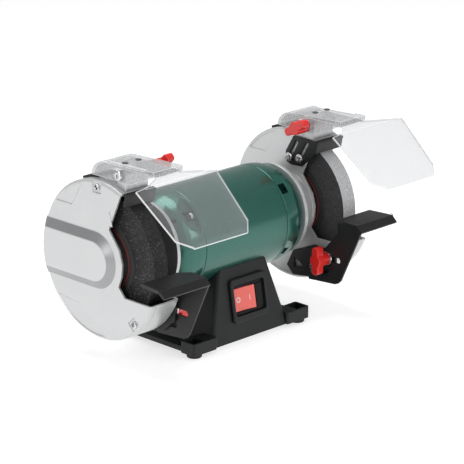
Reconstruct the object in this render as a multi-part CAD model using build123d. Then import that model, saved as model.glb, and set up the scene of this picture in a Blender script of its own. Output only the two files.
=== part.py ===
from build123d import *
import os
from math import atan2, cos, degrees, radians, sin, sqrt, tan

# Bench grinder. +X runs along the shaft to the operator's right, -Y faces the operator,
# +Z is up and z = 0 is the bench. The origin is the middle of the base's bolt pattern.

# ---- driving dimensions (mm) ----
SHAFT_HEIGHT = 118.0
MOTOR_RADIUS = 58.0
BARREL_HALF = 63.0
BELL_END = 97.0
WHEEL_DIAMETER = 150.0
WHEEL_WIDTH = 20.0
WHEEL_BORE = 20.0
WHEEL_INNER_X = 136.7
GUARD_RADIUS = 88.5
GUARD_INNER_X = 127.5
COVER_OUTER_X = 169.0
BOLT_SPACING_X = 162.0
BOLT_SPACING_Y = 112.0

# ---- clearances ----
JOINT_GAP = 0.3
SEAT_GAP = 0.1
RUN_GAP = 0.05
WHEEL_TO_REST = 2.5
WHEEL_TO_ARRESTOR = 4.0

# ---- walls and sheets ----
BARREL_WALL = 4.0
BELL_WALL = 6.0
GUARD_WALL = 3.0
BASE_WALL = 4.0
SHEET = 2.8
CLEAR_SHEET = 2.4

# ---- motor ----
CORE_HALF = 30.0
SLOT_COUNT = 18
SLOT_WIDTH = 4.6
SLOT_TOP = 43.0
WINDING_END = 48.0
WINDING_OUTER = 44.0
WINDING_INNER = 33.5
ROTOR_RADIUS = 30.0
AIR_GAP = 0.5
TIE_CIRCLE = 50.0
TIE_ANGLES = (43.0, 137.0, 223.0, 317.0)
TIE_HEAD_RADIUS = 4.6
TIE_HEAD_LENGTH = 3.4
TIE_SCREW_RADIUS = 2.5
TIE_LENGTH = 16.0
LUG_RADIUS = 5.2
LUG_LENGTH = 18.0
BELL_STRAIGHT = 8.0
POCKET_LENGTH = 20.0
POCKET_DEPTH = 5.0
POCKET_RISE = 2.4
POCKET_RECESS = 13.0
POCKET_WALL = 3.0

# ---- bearings (15 x 35 x 11) and shaft ----
BEARING_BORE = 15.0
BEARING_OUTER = 35.0
BEARING_WIDTH = 11.0
BEARING_RING = 2.6
BALL_RADIUS = 3.0
BALL_COUNT = 8
PRELOAD_THICKNESS = 0.8
SHAFT_CORE_RADIUS = 12.0
SHAFT_SHOULDER_RADIUS = 10.0
THREAD_RADIUS = 7.0

# ---- wheel clamping ----
FLANGE_RADIUS = 30.0
FLANGE_DISC = 5.0
HUB_RADIUS = 11.0
BLOTTER_RADIUS = 44.0
BLOTTER_THICKNESS = 0.6
OUTER_FLANGE_DISC = 4.0
NUT_ACROSS_FLATS = 22.0
NUT_LENGTH = 8.0
SHAFT_PAST_NUT = 1.5

# ---- guard and cover ----
COLLAR_RADIUS = 53.0
COLLAR_LIP = 4.5
NECK_RADIUS = 36.0
RIM_END_X = 159.7
OPENING_TOP_ANGLE = 65.0
OPENING_ARC_RADIUS = 38.0
OPENING_SILL = -33.0
SCREW_CIRCLE = 81.0
COVER_SCREW_ANGLES = (90.0, 178.0, 313.0)
POST_RADIUS = 4.8
COVER_SCREW_RADIUS = 2.0
COVER_HEAD_RADIUS = 3.8
COVER_HEAD_LENGTH = 2.4
NOTCH_DEPTH = 1.6
BOSS_HALF = 33.0
BOSS_CENTRE_Y = 3.0
BOSS_HEIGHT = 6.0
BOSS_TAPER = 60.0
BOSS_REAR_SLOPE = 7.0
GUARD_SCREW_CIRCLE = 24.0
GUARD_SCREW_RADIUS = 2.5
GUARD_HEAD_RADIUS = 4.5
PANEL_STEP = 0.9

# ---- eye shield ----
PIVOT_Y = -30.0
PIVOT_Z = 99.0
PIVOT_BOLT_RADIUS = 3.0
LUG_TOP_RADIUS = 5.5
CHEEK_INNER_X = 121.0
CHEEK_DROP = 7.5
LUG_ROOM = 0.5
DECK_LIFT = 3.0
HOLDER_REAR_Y = 15.0
HOLDER_ROUND = 23.0
HOLDER_STEP = 4.0
HOLDER_FRONT_Y = -82.0
SHIELD_TOP_WIDTH = 115.0
SHIELD_LOW_WIDTH = 101.0
SHIELD_CENTRE_X = 147.0
SHIELD_LENGTH = 82.5
SHIELD_SLOPE = 39.0
SHIELD_CORNER = 12.7
SHIELD_CORNER_UP = 15.5
SHIELD_FOLD = 11.0
SHIELD_FOLD_DEPTH = 3.0
SHIELD_TOP_Y = -102.0
RIVET_X = (136.0, 155.0)
RIVET_RADIUS = 2.0
RIVET_HEAD_RADIUS = 3.4
RIVET_HEAD = 0.6
STOP_THICKNESS = 2.6
STOP_X = (131.0, 158.0)
STOP_ANGLES = (97.0, 112.0)

# ---- spark arrestor ----
ARRESTOR_ANGLE = 60.0
ARRESTOR_SLOT = 27.0
ARRESTOR_OUT = 5.0
ARRESTOR_SCREW_RADIUS = 2.0
ARRESTOR_HEAD_RADIUS = 3.6
ARRESTOR_TONGUE = 14.0
ARRESTOR_OUTER_X = 167.0

# ---- tool rest ----
REST_TOP_Z = 116.0
REST_DEPTH = 32.0
REST_OUTER_X = 181.0
REST_END_TAPER = 4.0
REST_INNER_X = 121.0
REST_THICKNESS = 4.0
REST_LIP = 7.0
REST_LIP_OUT = 7.0
REST_TRAVEL = 12.0
REST_SLOT_AHEAD = 17.0
LEFT_REST_OUT = 6.5
LEFT_REST_WIDER = 6.5
REST_BOLT_RADIUS = 3.0
REST_BOLTS = ((-64.0, 68.0), (-47.0, 52.0))

# ---- knobs ----
KNOB_BAR = 32.0
KNOB_THICKNESS = 9.0
KNOB_HUB_RADIUS = 7.5
KNOB_LENGTH = 18.0
LEFT_KNOB_BACK = 5.0
WASHER_THICKNESS = 1.6
WASHER_RADIUS = 8.0

# ---- base ----
BASE_BOTTOM_Z = 4.5
BASE_HALF_X = 61.0
BASE_HALF_Y = 63.0
BASE_TOP_HALF_X = 38.3
BASE_TOP_HALF_Y = 50.0
BASE_TOP_Z = 83.0
TOWER_Z = 100.0
TOWER_CORNER = 5.0
EAR_OUTER_X = 91.0
EAR_FRONT_Y = 66.0
EAR_DEPTH = 22.0
EAR_HEIGHT = 14.0
SKIRT_X = 88.0
SKIRT_HEIGHT = 6.0
FOOT_RADIUS = 8.5
FOOT_NECK_RADIUS = 5.4
FOOT_BEAD_RADIUS = 6.4
FOOT_HOLE_RADIUS = 3.2
FOOT_BEAD_HEIGHT = 2.5
BASE_PLATE_THICKNESS = 2.0
CRADLE_SCREW_X = 28.0
CRADLE_SCREW_RADIUS = 2.5

# ---- switch ----
SWITCH_X = 2.0
SWITCH_Z = 48.5
FRAME_WIDTH = 55.0
FRAME_HEIGHT = 50.0
FRAME_PROUD = 4.0
WINDOW_WIDTH = 47.0
WINDOW_HEIGHT = 35.0
WINDOW_CORNER = 3.0
SWITCH_DEPTH = 15.0
ROCKER_WIDTH = 31.0
ROCKER_HEIGHT = 26.0
ROCKER_THICKNESS = 5.0
ROCKER_OFFSET = -7.5
ROCKER_TILT = 7.0
ROCKER_PIVOT = 0.5

# ---- lead inlet ----
GLAND_RADIUS = 7.0
GLAND_BORE = 3.8

# ---- values worked out from the above ----
WHEEL_RADIUS = WHEEL_DIAMETER / 2
WHEEL_OUTER_X = WHEEL_INNER_X + WHEEL_WIDTH
FLANGE_FACE_X = WHEEL_INNER_X - BLOTTER_THICKNESS
OUTER_FLANGE_X = WHEEL_OUTER_X + BLOTTER_THICKNESS
NUT_X = OUTER_FLANGE_X + OUTER_FLANGE_DISC
SHAFT_END_X = NUT_X + NUT_LENGTH + SHAFT_PAST_NUT
BARREL_BORE = MOTOR_RADIUS - BARREL_WALL
BEARING_END_X = BELL_END - BELL_WALL
BEARING_X = BEARING_END_X - BEARING_WIDTH - PRELOAD_THICKNESS
GUARD_FACE_X = GUARD_INNER_X + GUARD_WALL
COLLAR_X = BELL_END + JOINT_GAP
COVER_X = COVER_OUTER_X - GUARD_WALL
ARRESTOR_PLATE_X = GUARD_INNER_X - JOINT_GAP - SHEET
CHEEK_OUTER_X = RIM_END_X + 2 * JOINT_GAP
PIVOT_HEIGHT = SHAFT_HEIGHT + PIVOT_Z
DECK_Z = PIVOT_HEIGHT + LUG_TOP_RADIUS + LUG_ROOM + 2 * CLEAR_SHEET
SHIELD_Z = DECK_Z - CLEAR_SHEET
REST_BACK_Y = -(WHEEL_RADIUS + WHEEL_TO_REST)
REST_PLATE_X = REST_INNER_X
LEAN = degrees(atan2(BASE_HALF_Y - BASE_TOP_HALF_Y, BASE_TOP_Z - BASE_BOTTOM_Z))


def cyl_x(radius, x0, x1, y=0.0, z=SHAFT_HEIGHT):
    """Cylinder along X, on the shaft line unless told otherwise."""
    rod = Cylinder(radius, x1 - x0, align=(Align.CENTER, Align.CENTER, Align.MIN))
    return Pos(x0, y, z) * Rot(0, 90, 0) * rod


def cyl_z(radius, z0, z1, x=0.0, y=0.0):
    rod = Cylinder(radius, z1 - z0, align=(Align.CENTER, Align.CENTER, Align.MIN))
    return Pos(x, y, z0) * rod


def block(x0, x1, y0, y1, z0, z1):
    body = Box(x1 - x0, y1 - y0, z1 - z0, align=(Align.MIN, Align.MIN, Align.MIN))
    return Pos(x0, y0, z0) * body


def turned(points):
    """Solid of revolution about the shaft line from (x, radius) points."""
    profile = make_face(Polyline(*points, close=True))
    return Pos(0, 0, SHAFT_HEIGHT) * revolve(profile, axis=Axis.X)


def plate_x(points, x0, x1):
    """Flat plate across X from (y, z) points."""
    outline = Plane.YZ.offset(x0) * make_face(Polyline(*points, close=True))
    return extrude(outline, amount=x1 - x0, dir=(1, 0, 0))


def plate_z(points, z0, z1):
    """Flat plate across Z from (x, y) points."""
    outline = Plane.XY.offset(z0) * make_face(Polyline(*points, close=True))
    return extrude(outline, amount=z1 - z0, dir=(0, 0, 1))


def slot_x(y0, z0, y1, z1, width, x0, x1):
    """Round-ended slot along the line between two points, cut across X."""
    length = sqrt((y1 - y0) ** 2 + (z1 - z0) ** 2)
    turn = degrees(atan2(z1 - z0, y1 - y0))
    outline = Pos((y0 + y1) / 2, (z0 + z1) / 2) * Rot(0, 0, turn) * SlotCenterToCenter(length, width)
    return extrude(Plane.YZ.offset(x0) * outline, amount=x1 - x0, dir=(1, 0, 0))


def around(radius, angle):
    """Point (y, z) at a radius from the shaft, its angle measured up from the front."""
    return (-radius * cos(radians(angle)), SHAFT_HEIGHT + radius * sin(radians(angle)))


def flip(shape):
    return mirror(shape, about=Plane.YZ)


def group(shapes):
    return Compound(children=list(shapes))


def save(name, shape):
    export_step(shape, f"parts/{name}.step")


def save_pair(name, right):
    save(f"{name}_right", right)
    save(f"{name}_left", flip(right))


# ---- motor ----
def motor_barrel():
    """Cast barrel with eight tapped lugs for the tie screws."""
    barrel = cyl_x(MOTOR_RADIUS, -BARREL_HALF, BARREL_HALF)
    barrel = chamfer(barrel.edges().filter_by(GeomType.CIRCLE), 0.6)
    barrel -= cyl_x(BARREL_BORE, -BARREL_HALF, BARREL_HALF)
    for angle in TIE_ANGLES:
        y, z = around(TIE_CIRCLE, angle)
        for x0 in (-BARREL_HALF, BARREL_HALF - LUG_LENGTH):
            barrel += cyl_x(LUG_RADIUS, x0, x0 + LUG_LENGTH, y, z)
        barrel -= cyl_x(TIE_SCREW_RADIUS + RUN_GAP, -BARREL_HALF, -BARREL_HALF + TIE_LENGTH, y, z)
        barrel -= cyl_x(TIE_SCREW_RADIUS + RUN_GAP, BARREL_HALF - TIE_LENGTH, BARREL_HALF, y, z)
    for x in (-CRADLE_SCREW_X, CRADLE_SCREW_X):
        low = SHAFT_HEIGHT - MOTOR_RADIUS
        barrel -= cyl_z(CRADLE_SCREW_RADIUS + RUN_GAP, low - 1, low + BARREL_WALL + 1, x)
    return barrel


def bell_pocket(angle):
    """Flat facet rising towards the end, with an open recess for the screw head at the seam."""
    seat = BARREL_HALF + POCKET_WALL
    half = TIE_HEAD_RADIUS + 1.6
    recess = cyl_x(half, 0, POCKET_RECESS, 0, TIE_CIRCLE)
    recess += block(0, POCKET_RECESS, -half, half, TIE_CIRCLE, MOTOR_RADIUS + 5)
    facet = block(0, 2 * POCKET_LENGTH, -MOTOR_RADIUS / 2, MOTOR_RADIUS / 2, 0, 20)
    rise = degrees(atan2(POCKET_RISE, POCKET_LENGTH))
    facet = Pos(0, 0, MOTOR_RADIUS - POCKET_DEPTH) * Rot(0, -rise, 0) * facet
    return Pos(seat, 0, SHAFT_HEIGHT) * Rot(90 - angle, 0, 0) * (recess + facet)


def end_bell():
    """Right-hand end bell: shell, bearing housing and end wall in one casting."""
    shell = turned([
        (BARREL_HALF + SEAT_GAP, 0), (BARREL_HALF + SEAT_GAP, MOTOR_RADIUS - 0.6),
        (BARREL_HALF + 0.7, MOTOR_RADIUS), (BARREL_HALF + BELL_STRAIGHT, MOTOR_RADIUS),
        (BELL_END - 16, MOTOR_RADIUS - 1.4), (BELL_END - 8, MOTOR_RADIUS - 4),
        (BELL_END - 2, MOTOR_RADIUS - 8), (BELL_END, MOTOR_RADIUS - 12), (BELL_END, 0)])
    inner_end = BELL_END - BELL_WALL
    seat = BARREL_HALF + POCKET_WALL
    cavity = turned([
        (BARREL_HALF, 0), (BARREL_HALF, MOTOR_RADIUS - BELL_WALL),
        (inner_end - 9, MOTOR_RADIUS - BELL_WALL), (inner_end - 3, MOTOR_RADIUS - BELL_WALL - 4),
        (inner_end, MOTOR_RADIUS - BELL_WALL - 9), (inner_end, 0)])
    for angle in TIE_ANGLES:
        y, z = around(TIE_CIRCLE, angle)
        backing = seat + POCKET_RECESS + BELL_WALL
        cavity -= cyl_x(TIE_HEAD_RADIUS + 1.6 + BELL_WALL, BARREL_HALF, backing, y, z)
    bell = shell - cavity
    bell += cyl_x(BEARING_OUTER / 2 + 4, BEARING_X - 1, inner_end + 1)
    bell -= cyl_x(BEARING_OUTER / 2 + SEAT_GAP / 2, BEARING_X - 2, inner_end)
    bell -= cyl_x(HUB_RADIUS + 1.5, BEARING_X, BELL_END + 1)
    for angle in TIE_ANGLES:
        y, z = around(TIE_CIRCLE, angle)
        bell -= bell_pocket(angle)
        bell -= cyl_x(TIE_SCREW_RADIUS + 0.3, BARREL_HALF, BELL_END, y, z)
    for y, z in guard_screw_places():
        bell -= cyl_x(GUARD_SCREW_RADIUS + RUN_GAP, BELL_END - BELL_WALL - 0.1, BELL_END + 1, y, z)
    return bell


def tie_screw(angle):
    """Pan-head screw from a pocket into its lug, on the right-hand side."""
    y, z = around(TIE_CIRCLE, angle)
    seat = BARREL_HALF + POCKET_WALL
    head = cyl_x(TIE_HEAD_RADIUS, seat, seat + TIE_HEAD_LENGTH, y, z)
    head = fillet(head.edges().sort_by(Axis.X)[-1], 1.4)
    head -= block(seat + TIE_HEAD_LENGTH - 1.4, seat + 9, y - 3.2, y + 3.2, z - 0.6, z + 0.6)
    head -= block(seat + TIE_HEAD_LENGTH - 1.4, seat + 9, y - 0.6, y + 0.6, z - 3.2, z + 3.2)
    return head + cyl_x(TIE_SCREW_RADIUS, seat - POCKET_WALL - TIE_LENGTH + 2, seat, y, z)


def stator_core():
    """Laminated ring with slots for the windings."""
    ring = cyl_x(BARREL_BORE - SEAT_GAP, -CORE_HALF, CORE_HALF)
    bore = ROTOR_RADIUS + AIR_GAP
    ring -= cyl_x(bore, -CORE_HALF, CORE_HALF)
    for i in range(SLOT_COUNT):
        slot = block(-CORE_HALF, CORE_HALF, -SLOT_WIDTH / 2, SLOT_WIDTH / 2, bore - 1, SLOT_TOP)
        ring -= Pos(0, 0, SHAFT_HEIGHT) * Rot(i * 360 / SLOT_COUNT, 0, 0) * slot
    return ring


def stator_windings():
    """End turns of the coils, one bundle at each end of the core."""
    end = turned([
        (CORE_HALF + SEAT_GAP, WINDING_INNER), (WINDING_END - 3, WINDING_INNER),
        (WINDING_END, WINDING_INNER + 3), (WINDING_END, WINDING_OUTER - 3),
        (WINDING_END - 3, WINDING_OUTER), (CORE_HALF + SEAT_GAP, WINDING_OUTER)])
    return group([end, flip(end)])


def rotor_core():
    core = cyl_x(ROTOR_RADIUS, -CORE_HALF, CORE_HALF)
    rings = turned([
        (-CORE_HALF - 5, SHAFT_CORE_RADIUS + 6), (-CORE_HALF - 5, ROTOR_RADIUS - 2),
        (CORE_HALF + 5, ROTOR_RADIUS - 2), (CORE_HALF + 5, SHAFT_CORE_RADIUS + 6)])
    return core + rings - cyl_x(SHAFT_CORE_RADIUS + RUN_GAP, -CORE_HALF - 9, CORE_HALF + 9)


def shaft():
    """One turned shaft, threaded at both ends."""
    half = [
        (0, SHAFT_CORE_RADIUS), (CORE_HALF + 8, SHAFT_CORE_RADIUS),
        (CORE_HALF + 8, SHAFT_SHOULDER_RADIUS), (BEARING_X, SHAFT_SHOULDER_RADIUS),
        (BEARING_X, BEARING_BORE / 2), (WHEEL_OUTER_X - 6, BEARING_BORE / 2),
        (WHEEL_OUTER_X - 6, THREAD_RADIUS), (SHAFT_END_X - 1, THREAD_RADIUS),
        (SHAFT_END_X, THREAD_RADIUS - 1)]
    left = [(-x, r) for x, r in reversed(half[1:])]
    return turned([(-SHAFT_END_X, 0)] + left + half + [(SHAFT_END_X, 0)])


def bearing_outer_ring():
    groove = BEARING_OUTER / 2 - BEARING_RING
    middle = BEARING_X + BEARING_WIDTH / 2
    ring = cyl_x(BEARING_OUTER / 2, BEARING_X, BEARING_X + BEARING_WIDTH)
    ring -= cyl_x(groove, BEARING_X, BEARING_X + BEARING_WIDTH)
    pitch = (BEARING_OUTER + BEARING_BORE) / 4
    track = Pos(middle, 0, SHAFT_HEIGHT) * Rot(0, 90, 0) * Torus(pitch, BALL_RADIUS + RUN_GAP)
    return ring - track


def bearing_inner_ring():
    groove = BEARING_BORE / 2 + BEARING_RING
    middle = BEARING_X + BEARING_WIDTH / 2
    ring = cyl_x(groove, BEARING_X + SEAT_GAP, BEARING_X + BEARING_WIDTH)
    ring -= cyl_x(BEARING_BORE / 2 + RUN_GAP / 2, BEARING_X, BEARING_X + BEARING_WIDTH)
    pitch = (BEARING_OUTER + BEARING_BORE) / 4
    track = Pos(middle, 0, SHAFT_HEIGHT) * Rot(0, 90, 0) * Torus(pitch, BALL_RADIUS + RUN_GAP)
    return ring - track


def bearing_balls():
    pitch = (BEARING_OUTER + BEARING_BORE) / 4
    middle = BEARING_X + BEARING_WIDTH / 2
    balls = []
    for i in range(BALL_COUNT):
        y, z = around(pitch, i * 360 / BALL_COUNT)
        balls.append(Pos(middle, y, z) * Sphere(BALL_RADIUS))
    return balls


def preload_washer():
    """Spring ring behind the right-hand bearing."""
    x0 = BEARING_X + BEARING_WIDTH + 0.05
    ring = cyl_x(BEARING_OUTER / 2 - 0.4, x0, x0 + PRELOAD_THICKNESS - 0.1)
    return ring - cyl_x(BEARING_OUTER / 2 - 3, x0, x0 + PRELOAD_THICKNESS)


# ---- wheel clamping, right-hand side ----
def inner_flange():
    """Flange with a long hub on the shaft and a spigot that carries the wheel."""
    start = BEARING_X + BEARING_WIDTH + 0.2
    body = turned([
        (start, 0), (start, BEARING_BORE / 2 + 2.4), (BELL_END - 3.6, BEARING_BORE / 2 + 2.4),
        (BELL_END - 3.6, HUB_RADIUS), (FLANGE_FACE_X - FLANGE_DISC, HUB_RADIUS),
        (FLANGE_FACE_X - FLANGE_DISC, FLANGE_RADIUS - 1.5),
        (FLANGE_FACE_X - FLANGE_DISC + 1.5, FLANGE_RADIUS), (FLANGE_FACE_X, FLANGE_RADIUS),
        (FLANGE_FACE_X, WHEEL_BORE / 2 - RUN_GAP), (WHEEL_OUTER_X - 6.5, WHEEL_BORE / 2 - RUN_GAP),
        (WHEEL_OUTER_X - 6.5, 0)])
    return body - cyl_x(BEARING_BORE / 2 + RUN_GAP / 2, start - 1, WHEEL_OUTER_X)


def outer_flange():
    body = cyl_x(FLANGE_RADIUS, OUTER_FLANGE_X, OUTER_FLANGE_X + OUTER_FLANGE_DISC)
    body = chamfer(body.edges().sort_by(Axis.X)[-1], 1.0)
    return body - cyl_x(THREAD_RADIUS + SEAT_GAP, OUTER_FLANGE_X - 1, NUT_X + 1)


def blotters():
    """Paper washers on both faces of the wheel."""
    discs = []
    for x0 in (FLANGE_FACE_X, WHEEL_OUTER_X):
        disc = cyl_x(BLOTTER_RADIUS, x0, x0 + BLOTTER_THICKNESS)
        discs.append(disc - cyl_x(WHEEL_BORE / 2 + 0.6, x0 - 1, x0 + 2))
    return group(discs)


def grinding_wheel():
    wheel = cyl_x(WHEEL_RADIUS, WHEEL_INNER_X, WHEEL_OUTER_X)
    wheel = chamfer(wheel.edges().filter_by(GeomType.CIRCLE), 0.8)
    return wheel - cyl_x(WHEEL_BORE / 2, WHEEL_INNER_X - 1, WHEEL_OUTER_X + 1)


def shaft_nut():
    hexagon = RegularPolygon(NUT_ACROSS_FLATS / 2, 6, major_radius=False)
    face = Plane.YZ.offset(NUT_X) * Pos(0, SHAFT_HEIGHT) * hexagon
    nut = extrude(face, amount=NUT_LENGTH, dir=(1, 0, 0))
    crown = NUT_ACROSS_FLATS / sqrt(3)
    nut &= turned([
        (NUT_X, 0), (NUT_X, crown), (NUT_X + NUT_LENGTH - 1.5, crown),
        (NUT_X + NUT_LENGTH, crown - 1.8), (NUT_X + NUT_LENGTH, 0)])
    return nut - cyl_x(THREAD_RADIUS + RUN_GAP / 2, NUT_X - 1, NUT_X + NUT_LENGTH + 1)


# ---- guard ----
def opening_cut(x0, x1):
    """Front opening shared by the inner guard and the outer cover."""
    reach = GUARD_RADIUS + 20
    top_in = around(OPENING_ARC_RADIUS + 4, OPENING_TOP_ANGLE)
    top_out = around(reach, OPENING_TOP_ANGLE)
    sill = SHAFT_HEIGHT + OPENING_SILL
    outline = [
        top_out, top_in, around(OPENING_ARC_RADIUS, 28), around(OPENING_ARC_RADIUS, 5),
        around(OPENING_ARC_RADIUS, -16), around(OPENING_ARC_RADIUS + 1, -36),
        (-(OPENING_ARC_RADIUS + 3), sill), (-reach, sill), (-reach, SHAFT_HEIGHT + reach)]
    return plate_x(outline, x0, x1)


def guard_screw_places():
    return [around(GUARD_SCREW_CIRCLE, angle) for angle in (90, 210, 330)]


def cover_screw_places():
    return [around(SCREW_CIRCLE, angle) for angle in COVER_SCREW_ANGLES]


def pressed_panels(x0, x1):
    """Two shallow wedge panels near the rear of a guard wall, above and below the middle."""
    rim = GUARD_RADIUS - 4
    upper = plate_x([(66, SHAFT_HEIGHT + 54), (40, SHAFT_HEIGHT + 54), (24, SHAFT_HEIGHT + 80),
                     (60, SHAFT_HEIGHT + 90)], x0, x1)
    lower = plate_x([(70, SHAFT_HEIGHT - 52), (31, SHAFT_HEIGHT - 56), (-10, SHAFT_HEIGHT - 86),
                     (60, SHAFT_HEIGHT - 90)], x0, x1)
    return (upper + lower) & cyl_x(rim, x0, x1)


def inner_guard():
    """Pan round the wheel with its collar on the motor, the pivot lug and the cover posts."""
    pan = turned([
        (COLLAR_X, HUB_RADIUS + 5), (COLLAR_X + GUARD_WALL, HUB_RADIUS + 5),
        (COLLAR_X + GUARD_WALL, COLLAR_RADIUS - 5), (GUARD_INNER_X - 11, NECK_RADIUS - 3.5),
        (GUARD_FACE_X, NECK_RADIUS - 3.5), (GUARD_FACE_X, GUARD_RADIUS - GUARD_WALL),
        (RIM_END_X, GUARD_RADIUS - GUARD_WALL), (RIM_END_X, GUARD_RADIUS),
        (GUARD_INNER_X + 2, GUARD_RADIUS), (GUARD_INNER_X, GUARD_RADIUS - 2),
        (GUARD_INNER_X, NECK_RADIUS), (GUARD_INNER_X - 9, NECK_RADIUS),
        (COLLAR_X + COLLAR_LIP, COLLAR_RADIUS), (COLLAR_X, COLLAR_RADIUS)])
    pan -= opening_cut(GUARD_INNER_X - 2, RIM_END_X + 1)
    pan -= pressed_panels(GUARD_INNER_X - 1, GUARD_INNER_X + PANEL_STEP)
    for y, z in cover_screw_places():
        pan += cyl_x(POST_RADIUS, GUARD_FACE_X - 1, COVER_X - JOINT_GAP, y, z)
    pan &= cyl_x(GUARD_RADIUS, COLLAR_X - 1, COVER_X)
    for y, z in cover_screw_places():
        pan -= cyl_x(COVER_SCREW_RADIUS + RUN_GAP, COVER_X - 14, COVER_X, y, z)
    for y, z in guard_screw_places():
        pan -= cyl_x(GUARD_SCREW_RADIUS + 0.3, COLLAR_X - 1, COLLAR_X + GUARD_WALL + 1, y, z)
    pan += pivot_lug()
    pan -= cyl_x(PIVOT_BOLT_RADIUS + RUN_GAP, CHEEK_INNER_X, RIM_END_X + 1, PIVOT_Y, PIVOT_HEIGHT)
    for y, z in REST_BOLTS:
        pan -= cyl_x(REST_BOLT_RADIUS + RUN_GAP, GUARD_INNER_X - 1, GUARD_FACE_X + 1, y, z)
    for y, z in arrestor_screw_places():
        pan -= cyl_x(ARRESTOR_SCREW_RADIUS + RUN_GAP, GUARD_INNER_X - 1, GUARD_FACE_X + 1, y, z)
    return pan


def pivot_lug():
    """Round-topped lug on the rim that the shield holder turns on."""
    foot_z = SHAFT_HEIGHT + GUARD_RADIUS - 9
    lug = plate_x([
        (PIVOT_Y - LUG_TOP_RADIUS, PIVOT_HEIGHT), (PIVOT_Y - LUG_TOP_RADIUS, foot_z),
        (PIVOT_Y + LUG_TOP_RADIUS + 4, foot_z), (PIVOT_Y + LUG_TOP_RADIUS, PIVOT_HEIGHT)],
        GUARD_INNER_X, RIM_END_X)
    lug += cyl_x(LUG_TOP_RADIUS, GUARD_INNER_X, RIM_END_X, PIVOT_Y, PIVOT_HEIGHT)
    lug -= cyl_x(GUARD_RADIUS - GUARD_WALL, GUARD_INNER_X - 1, RIM_END_X + 1)
    spacer_x = CHEEK_INNER_X + CLEAR_SHEET + JOINT_GAP
    return lug + cyl_x(LUG_TOP_RADIUS - 1, spacer_x, GUARD_INNER_X + 1, PIVOT_Y, PIVOT_HEIGHT)


def outer_cover():
    """Dished cover with a raised boss that clears the shaft nut."""
    cover = turned([
        (COVER_X, 0), (COVER_X, GUARD_RADIUS - GUARD_WALL),
        (RIM_END_X + JOINT_GAP, GUARD_RADIUS - GUARD_WALL), (RIM_END_X + JOINT_GAP, GUARD_RADIUS),
        (COVER_OUTER_X - 2.5, GUARD_RADIUS), (COVER_OUTER_X, GUARD_RADIUS - 2.5),
        (COVER_OUTER_X, 0)])
    cover += boss(COVER_OUTER_X - 0.5, BOSS_HALF, BOSS_HEIGHT + 0.5)
    cover -= boss(COVER_X - 1, BOSS_HALF - 4, BOSS_HEIGHT + 1)
    cover -= pressed_panels(COVER_OUTER_X - PANEL_STEP, COVER_OUTER_X + 1)
    cover -= opening_cut(RIM_END_X - 1, COVER_OUTER_X + 1)
    for (y, z), angle in zip(cover_screw_places(), COVER_SCREW_ANGLES):
        cover -= cyl_x(POST_RADIUS + JOINT_GAP, RIM_END_X, COVER_X, y, z)
        cover -= cyl_x(COVER_SCREW_RADIUS + 0.3, COVER_X - 1, COVER_OUTER_X + 1, y, z)
        notch = block(COVER_OUTER_X - NOTCH_DEPTH, COVER_OUTER_X + 1, -6.5, 6.5, -6, 14)
        cover -= Pos(0, 0, SHAFT_HEIGHT) * Rot(90 - angle, 0, 0) * Pos(0, 0, SCREW_CIRCLE) * notch
    return cover


def boss(x0, half, height):
    """Tapered stadium, round at the front and run off the rear edge of the cover."""
    rear = GUARD_RADIUS + half
    stadium = Pos(BOSS_CENTRE_Y + rear / 2, SHAFT_HEIGHT) * SlotCenterToCenter(rear, 2 * half)
    raised = extrude(Plane.YZ.offset(x0) * stadium, amount=height, taper=BOSS_TAPER, dir=(1, 0, 0))
    edge = GUARD_RADIUS - 1 - (BOSS_HALF - half)
    return raised & turned([
        (x0 - 1, 0), (x0 - 1, edge), (x0 + 0.5, edge),
        (x0 + height + 1, edge - BOSS_REAR_SLOPE), (x0 + height + 1, 0)])


def cover_screws():
    screws = []
    seat = COVER_OUTER_X - NOTCH_DEPTH
    for y, z in cover_screw_places():
        head = cyl_x(COVER_HEAD_RADIUS, seat, seat + COVER_HEAD_LENGTH, y, z)
        head = fillet(head.edges().sort_by(Axis.X)[-1], 1.0)
        head -= block(seat + 1.2, seat + 9, y - 2.6, y + 2.6, z - 0.5, z + 0.5)
        head -= block(seat + 1.2, seat + 9, y - 0.5, y + 0.5, z - 2.6, z + 2.6)
        screws.append(head + cyl_x(COVER_SCREW_RADIUS, seat - 12, seat, y, z))
    return screws


def guard_screws():
    screws = []
    seat = COLLAR_X + GUARD_WALL
    for y, z in guard_screw_places():
        head = cyl_x(GUARD_HEAD_RADIUS, seat, seat + 3, y, z)
        head -= cyl_x(2.0, seat + 1.2, seat + 4, y, z)
        screws.append(head + cyl_x(GUARD_SCREW_RADIUS, BELL_END - BELL_WALL, seat, y, z))
    return screws


# ---- spark arrestor ----
def arrestor_screw_places():
    """Two screws side by side, across the sliding direction."""
    return [(-1.0, SHAFT_HEIGHT + 56.0), (-17.0, SHAFT_HEIGHT + 57.0)]


def arrestor_slide_vector():
    return (-cos(radians(ARRESTOR_ANGLE)), sin(radians(ARRESTOR_ANGLE)))


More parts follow.
